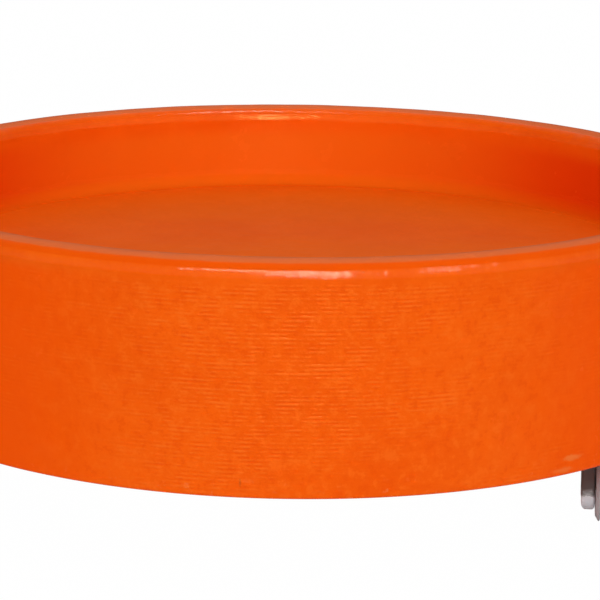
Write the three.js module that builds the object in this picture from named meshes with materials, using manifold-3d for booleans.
// Rolling oil drain pan: a hollow one-piece moulded tray on three swivel casters.
// Units are millimetres, +Z up. The origin is on the ground, under the centre of the tray;
// -Y is the front.
import * as THREE from "three";
import { mergeVertices } from "three/addons/utils/BufferGeometryUtils.js";
import Module from "manifold-3d";

const wasm = await Module();
wasm.setup();

// ---------------------------------------------------------------- driving dimensions
const RIM_R = 228.5; // outer radius at the rim
const SKIRT_R = 225; // outer radius at the bottom edge of the skirt
const RIM_Z = 169.6; // top of the rim above the ground
const SKIRT_Z = 57.4; // bottom edge of the skirt
const RIM_ROUND = 9.15; // half the width of the rim, which is fully rounded
const TRAY_DEPTH = 48; // rim top to tray floor
const TRAY_DRAFT = 1.5; // how far the tray wall leans in on its way down
const FLOOR_FILLET = 8;
const SKIN = 4; // moulded wall thickness
const LIP_T = 4.5; // thickness of the skirt below the underside
const PAD_Z = 70; // caster pads: where the casters bolt on
const UNDER_Z = 74; // underside between the pads
const PAD = 60; // side of a square caster pad
const PAD_REACH = 29.5; // pad centre to the pad's end inside the skirt
const KISS_RING = 96; // radius of the ring of kiss-off cones
const KISS_COUNT = 6;
const KISS_START = 30; // angle of the first cone, degrees from +X
const VENT_R = 6; // moulding vent, closed with a push-in plug
const VENT_X = 50;

const CASTER_R = 192; // tray centre to swivel axis
const PLATE = 52; // top plate side
const PLATE_T = 2.5;
const HOLE = 20; // half the screw spacing
const SCREW_R = 3;
const TRAIL = 23; // swivel axis to axle
const WHEEL_R = 25;
const TYRE_W = 17.6;
const LEG_IN = 14; // inner face of a fork leg from the wheel's mid plane
const LEG_WEB = 2;
const LEG_OUT = 21; // outer edge of a leg's flange
const AXLE_R = 3;
const GAP = 0.3; // clearance between neighbours
const OVER = 1; // how far a cut or a join runs past a face

// angle of each caster's place round the tray, and of its trailing direction at rest,
// in degrees from +X
const CASTERS = [
  { tag: "front_right", at: -30, trail: -99 },
  { tag: "front_left", at: -150, trail: 176 },
  { tag: "rear", at: 90, trail: 196 },
];

// ---------------------------------------------------------------- helpers
const rad = (degrees) => (degrees * Math.PI) / 180;
const polar = (radius, degrees) => [
  radius * Math.cos(rad(degrees)),
  radius * Math.sin(rad(degrees)),
];

// Makes a solid of a closed geometry, which it strips down to positions.
function solid(geometry) {
  geometry.deleteAttribute("normal");
  geometry.deleteAttribute("uv");
  const welded = mergeVertices(geometry, 1e-4);
  return new wasm.Manifold(
    new wasm.Mesh({
      numProp: 3,
      vertProperties: new Float32Array(welded.attributes.position.array),
      triVerts: new Uint32Array(welded.index.array),
    }),
  );
}

function mesh(name, part, material) {
  const { vertProperties, triVerts } = part.getMesh();
  const geometry = new THREE.BufferGeometry();
  geometry.setAttribute("position", new THREE.BufferAttribute(new Float32Array(vertProperties), 3));
  geometry.setIndex(new THREE.BufferAttribute(new Uint32Array(triVerts), 1));
  const result = new THREE.Mesh(geometry, material);
  result.name = name;
  return result;
}

const cutAll = (part, cutters) => cutters.reduce((rest, cutter) => rest.subtract(cutter), part);
const vectors = (points) => points.map(([x, y]) => new THREE.Vector2(x, y));

// A turned solid about Z from [radius, z] points. They must be listed so that z rises on
// the outside, or the solid comes out inside out.
function turned(points, segments) {
  const geometry = new THREE.LatheGeometry(vectors(points), segments);
  return solid(geometry.rotateX(Math.PI / 2)); // lathe turns about Y: stand it on Z
}
const disc = (r, z0, z1, segments) => turned([[0, z0], [r, z0], [r, z1], [0, z1]], segments);
const ring = (r0, r1, z0, z1, segments) =>
  turned([[r0, z0], [r1, z0], [r1, z1], [r0, z1], [r0, z0]], segments);

function box(x0, x1, y0, y1, z0, z1) {
  const geometry = new THREE.BoxGeometry(x1 - x0, y1 - y0, z1 - z0);
  return solid(geometry.translate((x0 + x1) / 2, (y0 + y1) / 2, (z0 + z1) / 2));
}

const extrusion = (shape, depth, curveSegments) =>
  new THREE.ExtrudeGeometry(shape, { depth, bevelEnabled: false, curveSegments });

function roundedSquare(side, radius, z0, z1, curveSegments) {
  const half = side / 2;
  const flat = half - radius; // half the straight part of a side
  const shape = new THREE.Shape();
  shape.moveTo(-flat, -half);
  shape.lineTo(flat, -half);
  shape.absarc(flat, -flat, radius, -Math.PI / 2, 0);
  shape.lineTo(half, flat);
  shape.absarc(flat, flat, radius, 0, Math.PI / 2);
  shape.lineTo(-flat, half);
  shape.absarc(-flat, flat, radius, Math.PI / 2, Math.PI);
  shape.lineTo(-half, -flat);
  shape.absarc(-flat, -flat, radius, Math.PI, 1.5 * Math.PI);
  return solid(extrusion(shape, z1 - z0, curveSegments).translate(0, 0, z0));
}

// an outline in the (y, z) plane, given thickness along x
function sideProfile(points, x0, x1) {
  const geometry = extrusion(new THREE.Shape(vectors(points)), x1 - x0);
  geometry.rotateX(Math.PI / 2).rotateZ(Math.PI / 2); // shape x -> y, shape y -> z, depth -> x
  return solid(geometry.translate(x0, 0, 0));
}

// an outline in the (x, z) plane, given thickness along y
function frontProfile(points, y0, y1) {
  const geometry = extrusion(new THREE.Shape(vectors(points)), y1 - y0);
  geometry.rotateX(Math.PI / 2); // shape y -> z, depth -> -y
  return solid(geometry.translate(0, y1, 0));
}

// turn a solid made about Z so that it lies about X at the axle
const aboutAxle = (part) => part.rotate([0, 90, 0]).translate([0, TRAIL, WHEEL_R]);

// the four screw places about a caster's swivel axis
const SCREW_PLACES = [-1, 1].flatMap((sx) => [-1, 1].map((sy) => [sx * HOLE, sy * HOLE, 0]));
const screwHoles = (z0, z1) =>
  SCREW_PLACES.map((place) => disc(SCREW_R + 0.5, z0, z1, 8).translate(place));

// ---------------------------------------------------------------- materials
const standard = (values) => new THREE.MeshStandardMaterial(values);
const orange = standard({ color: 0xea5a0a, roughness: 0.35, metalness: 0 });
const chrome = standard({ color: 0xb9b7b5, roughness: 0.2, metalness: 1 });
const zinc = standard({ color: 0xa9abad, roughness: 0.35, metalness: 1 });
const steel = standard({ color: 0x8d9094, roughness: 0.3, metalness: 1 });
const greyRubber = standard({ color: 0x8f9092, roughness: 0.6, metalness: 0 });
const greyPlastic = standard({ color: 0x6d7278, roughness: 0.5, metalness: 0 });
const blackPlastic = standard({ color: 0x1f2022, roughness: 0.5, metalness: 0 });

// ---------------------------------------------------------------- moulded body
const rimC = RIM_R - RIM_ROUND; // centre of the rim's rounding: radius, then height
const rimZ = RIM_Z - RIM_ROUND;
const floorZ = RIM_Z - TRAY_DEPTH;
const innerTop = rimC - RIM_ROUND; // tray wall radius at the rim
const innerBottom = innerTop - TRAY_DRAFT;
const skirtInner = SKIRT_R - LIP_T;
const upperSkin = UNDER_Z + SKIN; // inside face of the underside's skin

// points on an arc about [centreR, centreZ], angles in degrees
function arc(centreR, centreZ, radius, start, end, steps) {
  return Array.from({ length: steps + 1 }, (_, i) => {
    const [x, y] = polar(radius, start + ((end - start) * i) / steps);
    return [centreR + x, centreZ + y];
  });
}

// [radius, z], from the underside's centre out round the skirt and rim to the floor's centre
const OUTER_PROFILE = [
  [0, UNDER_Z],
  [skirtInner - 2, UNDER_Z],
  [skirtInner, UNDER_Z - 2],
  [skirtInner, SKIRT_Z + 1.6],
  [skirtInner + 1.4, SKIRT_Z],
  [SKIRT_R - 1.4, SKIRT_Z],
  [SKIRT_R, SKIRT_Z + 1.6],
  ...arc(rimC, rimZ, RIM_ROUND, 0, 180, 6),
  ...arc(innerBottom - FLOOR_FILLET, floorZ + FLOOR_FILLET, FLOOR_FILLET, 0, -90, 3),
  [0, floorZ],
];
// [radius, z] of the hollow, in the same order
const CAVITY_PROFILE = [
  [0, upperSkin],
  [SKIRT_R - SKIN - 2, upperSkin],
  [SKIRT_R - SKIN + 0.3, upperSkin + 2.3],
  [RIM_R - SKIN, rimZ],
  ...arc(rimC, rimZ, RIM_ROUND - SKIN, 45, 135, 2),
  [innerTop + SKIN, rimZ],
  [innerBottom + SKIN, floorZ + FLOOR_FILLET - SKIN],
  [innerBottom - 4, floorZ - SKIN],
  [0, floorZ - SKIN],
];

// adds one caster's pad, which stands down from the underside and runs out into the skirt
function addPad(body, at) {
  const place = (part) => part.rotate([0, 0, at - 90]).translate([...polar(CASTER_R, at), 0]);
  const top = UNDER_Z + OVER;
  const cutZ = PAD_Z - 2;
  const innerHalf = roundedSquare(PAD, 5, PAD_Z, top, 2).subtract(box(-40, 40, 0, 40, 0, 200));
  const outerHalf = box(-PAD / 2, PAD / 2, -OVER, PAD_REACH, PAD_Z, top);
  const kingpinRecess = disc(4.8, cutZ, PAD_Z + 2.5, 10); // clears the top of the kingpin
  const cutters = [...screwHoles(cutZ, upperSkin + 2), kingpinRecess];
  return cutAll(body.add(place(innerHalf)).add(place(outerHalf)), cutters.map(place));
}

function panBody() {
  let body = turned(OUTER_PROFILE, 60);
  let cavity = turned(CAVITY_PROFILE, 40);
  for (const { at } of CASTERS) body = addPad(body, at);

  // kiss-off cones, a ring and one in the centre, tie the underside to the tray floor
  const kissPlaces = Array.from({ length: KISS_COUNT }, (_, i) =>
    polar(KISS_RING, KISS_START + i * (360 / KISS_COUNT)),
  );
  const top = floorZ - SKIN - 2;
  const bottom = UNDER_Z - 2;
  for (const [x, y] of [...kissPlaces, [0, 0]]) {
    const hollow = turned([[0, bottom], [17.4, bottom], [9, top], [0, top]], 12);
    const wall = turned([[0, UNDER_Z], [21.8, UNDER_Z], [13.4, top + 4], [0, top + 4]], 12);
    body = body.subtract(hollow.translate([x, y, 0]));
    cavity = cavity.subtract(wall.translate([x, y, 0]));
  }
  const vent = disc(VENT_R, UNDER_Z - 3, upperSkin + 3, 16).translate([VENT_X, 0, 0]);
  return body.subtract(cavity).subtract(vent);
}

function ventPlug() {
  const profile = [
    [0, UNDER_Z - 2.2],
    [7, UNDER_Z - 2.2],
    [9, UNDER_Z - 1.2],
    [9, UNDER_Z - GAP],
    [VENT_R - 0.5, UNDER_Z - GAP],
    [VENT_R - 0.5, upperSkin + 3],
    [VENT_R - 2, upperSkin + 5],
    [0, upperSkin + 5],
  ];
  return turned(profile, 16).translate([VENT_X, 0, 0]);
}

// ------------------------------------- caster parts, about the swivel axis
// +y points out of the tray for the fixed parts, and trails for the swivelling ones
const plateZ1 = PAD_Z - GAP;
const plateZ0 = plateZ1 - PLATE_T;
const BALL_R = 2;
const BALL_GAP = 0.1;
const BALL_RING = 15; // upper balls
const LOWER_RING = 10.5; // lower balls run between the legs
const TRACK_DEPTH = 0.7; // ball tracks in the fork crown
const crownZ1 = 63.1; // top of the fork crown
const crownZ0 = 60.6;
const CROWN_R = 23.6;
const upperZ = plateZ0 - BALL_GAP - BALL_R; // centre of the upper balls
const lowerZ = crownZ0 + 0.5 - BALL_R; // the lower balls stand 0.5 into the crown
const retainerZ0 = 54.6;
const BORE_R = 4.9; // wheel hub and thread guards, over the axle sleeve
const guardIn = LEG_IN - 2; // inner face of a guard at its bore

// top plate with screw holes, the kingpin hole and a skirt that covers the ball track
function topPlate() {
  const z0 = plateZ0 - OVER;
  const z1 = plateZ1 + OVER;
  const plate = roundedSquare(PLATE, 6, plateZ0, plateZ1, 2);
  const skirt = ring(BALL_RING + 2.6, BALL_RING + 4.4, crownZ1 + 0.5, plateZ0 + 0.5, 20);
  return cutAll(plate, [disc(4.5, z0, z1, 10), ...screwHoles(z0, z1)]).add(skirt);
}

// balls in a thin cage
function ballRing(z, pitch, count, phase) {
  let balls = ring(pitch - 0.7, pitch + 0.7, z - 0.5, z + 0.5, 2 * count);
  for (let i = 0; i < count; i++) {
    const ball = new THREE.IcosahedronGeometry(BALL_R - 0.02, 0);
    balls = balls.add(solid(ball.translate(...polar(pitch, phase + (360 * i) / count), z)));
  }
  return balls;
}

// flanged head below the retainer, shank through the races, riveted end in the top plate
function kingpin() {
  const profile = [
    [0, retainerZ0 - 3.2],
    [5.6, retainerZ0 - 3.2],
    [6.6, retainerZ0 - 2],
    [6.6, retainerZ0 - GAP],
    [4, retainerZ0 - GAP],
    [4, plateZ1 + 1.6],
    [0, plateZ1 + 1.6],
  ];
  return turned(profile, 10);
}

// lower race cup, held by the kingpin
function raceCup() {
  const profile = [
    [4.4, retainerZ0],
    [12.6, retainerZ0],
    [13.5, retainerZ0 + 0.9],
    [13.5, lowerZ],
    [12.8, lowerZ],
    [12.8, retainerZ0 + 1.9],
    [4.4, retainerZ0 + 1.9],
    [4.4, retainerZ0],
  ];
  return turned(profile, 16);
}

// fork leg outline, [y, z], anticlockwise with y to the right
const LEG = [
  [-12.5, crownZ1],
  [-12.5, 57],
  [-9.5, 47],
  [TRAIL - 9.6, 27.5],
  [TRAIL - 8.3, 20.6],
  [TRAIL - 4.6, 16.9],
  [TRAIL, 15.6],
  [TRAIL + 4.6, 16.9],
  [TRAIL + 8.3, 20.6],
  [TRAIL + 9.4, 25.5],
  [TRAIL + 7.4, 33],
  [15.5, 50],
  [13, 57],
  [13, crownZ1],
];
const FLANGE_T = 2;

// moves each corner of an anticlockwise outline inwards, so that its sides shift by distance
function inset(points, distance) {
  const corners = vectors(points);
  const leftOf = (from, to) => {
    const along = to.clone().sub(from).normalize();
    return new THREE.Vector2(-along.y, along.x);
  };
  return corners.map((corner, i) => {
    const normalIn = leftOf(corners.at(i - 1), corner);
    const normalOut = leftOf(corner, corners[(i + 1) % corners.length]);
    const mitre = normalIn.clone().add(normalOut).normalize();
    const reach = distance / Math.max(0.3, mitre.dot(normalIn)); // limited at sharp corners
    return [corner.x + mitre.x * reach, corner.y + mitre.y * reach];
  });
}

// takes the lower outer corner off a leg, right across its axle end
function endRelief(side) {
  const outline = [
    [LEG_OUT + 2, 21.6],
    [LEG_OUT, 21.6],
    [LEG_OUT - 0.8, 18.8],
    [LEG_OUT - 4, 15.4],
    [LEG_OUT - 4, 10],
    [LEG_OUT + 2, 10],
  ];
  return frontProfile(outline.map(([x, z]) => [side * x, z]), -10, 50);
}

// a distance range from the mid plane, as an x range on one side of it
const span = (side, near, far) => (side > 0 ? [near, far] : [-far, -near]);

// pressed fork: a round crown and two flanged legs
function fork() {
  const pocket = inset(LEG, FLANGE_T).map(([y, z]) => [y, Math.min(z, crownZ0 - 0.4)]);
  let part = disc(CROWN_R, crownZ0, crownZ1, 20);
  for (const side of [-1, 1]) {
    const leg = sideProfile(LEG, ...span(side, LEG_IN, LEG_OUT))
      .subtract(sideProfile(pocket, ...span(side, LEG_IN + LEG_WEB, LEG_OUT + OVER)))
      .subtract(endRelief(side));
    part = part.add(leg);
  }
  const track = (pitch, z0, z1, segments) =>
    ring(pitch - BALL_R - 0.1, pitch + BALL_R + 0.1, z0, z1, segments);
  const axleHole = (side) =>
    aboutAxle(disc(AXLE_R + 0.35, ...span(side, LEG_IN - OVER, LEG_OUT + OVER), 10));
  return cutAll(part, [
    disc(6.5, crownZ0 - OVER, crownZ1 + OVER, 12), // the kingpin passes here
    track(BALL_RING, crownZ1 - TRACK_DEPTH, crownZ1 + OVER, 18),
    track(LOWER_RING, crownZ0 - OVER, crownZ0 + TRACK_DEPTH, 14),
    axleHole(-1),
    axleHole(1),
  ]);
}

function axleRivet() {
  const end = LEG_IN + LEG_WEB + GAP;
  const profile = [
    [0, -end - 2],
    [3.6, -end - 2],
    [5.4, -end - 0.9],
    [5.4, -end],
    [AXLE_R, -end],
    [AXLE_R, end],
    [5, end],
    [5, end + 0.8],
    [3.4, end + 1.8],
    [0, end + 1.8],
  ];
  return aboutAxle(turned(profile, 10));
}

const axleSleeve = () => aboutAxle(ring(AXLE_R + 0.4, 4.4, -LEG_IN + GAP, LEG_IN - GAP, 10));

// thread guard: a dished disc between the leg and the hub
function guard(side) {
  const outer = LEG_IN - GAP;
  const profile = [
    [BORE_R, guardIn],
    [14.6, guardIn - 0.9],
    [15.2, guardIn - 0.2],
    [11.6, outer],
    [BORE_R, outer],
    [BORE_R, guardIn],
  ];
  const mirrored = () => profile.map(([r, z]) => [r, -z]).reverse();
  return aboutAxle(turned(side > 0 ? profile : mirrored(), 14));
}

// closes a wheel section: [radius, z] points of its -z half, then their mirror image
function wheelSection(half) {
  const mirrored = half.map(([r, z]) => [r, -z]).reverse();
  return [...half, ...mirrored, half[0]];
}

function wheelCore() {
  const hubEnd = -(guardIn - GAP - 0.6);
  const half = [
    [BORE_R, hubEnd],
    [8, hubEnd],
    [8.4, -3.2],
    [16, -2.6],
    [17, -8.6],
    [19, -8.6],
  ];
  return aboutAxle(turned(wheelSection(half), 20));
}

function tyre() {
  const half = [
    [19.4, -8.2],
    [20.4, -TYRE_W / 2],
    [22.8, -TYRE_W / 2],
    [WHEEL_R, -5.6],
  ];
  return aboutAxle(turned(wheelSection(half), 28));
}

// hex-flange screw, from below
function screw() {
  const seat = plateZ0 - GAP;
  const tip = upperSkin + 6.5;
  const shank = [
    [0, seat - 1.2],
    [6.2, seat - 1.2],
    [6.2, seat],
    [SCREW_R, seat],
    [SCREW_R, tip],
    [0, tip],
  ];
  return disc(5.5, seat - 3.4, seat - 1, 6).add(turned(shank, 8));
}

// plate inside the hollow that takes the screws
function nutPlate() {
  const z0 = upperSkin + GAP;
  const z1 = z0 + 4;
  const plate = roundedSquare(PLATE - 2, 4, z0, z1, 1);
  return cutAll(plate, [disc(9, z0 - OVER, z1 + OVER, 10), ...screwHoles(z0 - OVER, z1 + OVER)]);
}

// ---------------------------------------------------------------- assembly
// name, builder, material
const FIXED_PARTS = [
  ["top_plate", topPlate, chrome],
  ["kingpin", kingpin, zinc],
  ["race_cup", raceCup, chrome],
  ["nut_plate", nutPlate, steel],
];
const SWIVEL_PARTS = [
  ["upper_balls", () => ballRing(upperZ, BALL_RING, 8, 0), steel],
  ["lower_balls", () => ballRing(lowerZ, LOWER_RING, 6, 20), steel],
  ["fork", fork, chrome],
  ["axle_rivet", axleRivet, zinc],
  ["axle_sleeve", axleSleeve, zinc],
  ["guard_left", () => guard(-1), greyPlastic],
  ["guard_right", () => guard(1), greyPlastic],
  ["wheel_core", wheelCore, greyPlastic],
  ["tyre", tyre, greyRubber],
];

// a group on a caster's swivel axis, its +y turned to the given angle
function casterGroup({ tag, at }, angle, parts) {
  const group = new THREE.Group();
  group.position.set(...polar(CASTER_R, at), 0);
  group.rotation.z = rad(angle - 90);
  for (const [name, build, material] of parts) group.add(mesh(`${tag}_${name}`, build(), material));
  return group;
}

const pan = new THREE.Group();
pan.add(mesh("pan_body", panBody(), orange));
pan.add(mesh("vent_plug", ventPlug(), blackPlastic));
for (const caster of CASTERS) {
  const fixed = casterGroup(caster, caster.at, FIXED_PARTS);
  SCREW_PLACES.forEach((place, i) => {
    const part = mesh(`${caster.tag}_screw_${i + 1}`, screw(), zinc);
    part.position.set(...place);
    fixed.add(part);
  });
  pan.add(fixed);
  pan.add(casterGroup(caster, caster.trail, SWIVEL_PARTS));
}

export default pan;
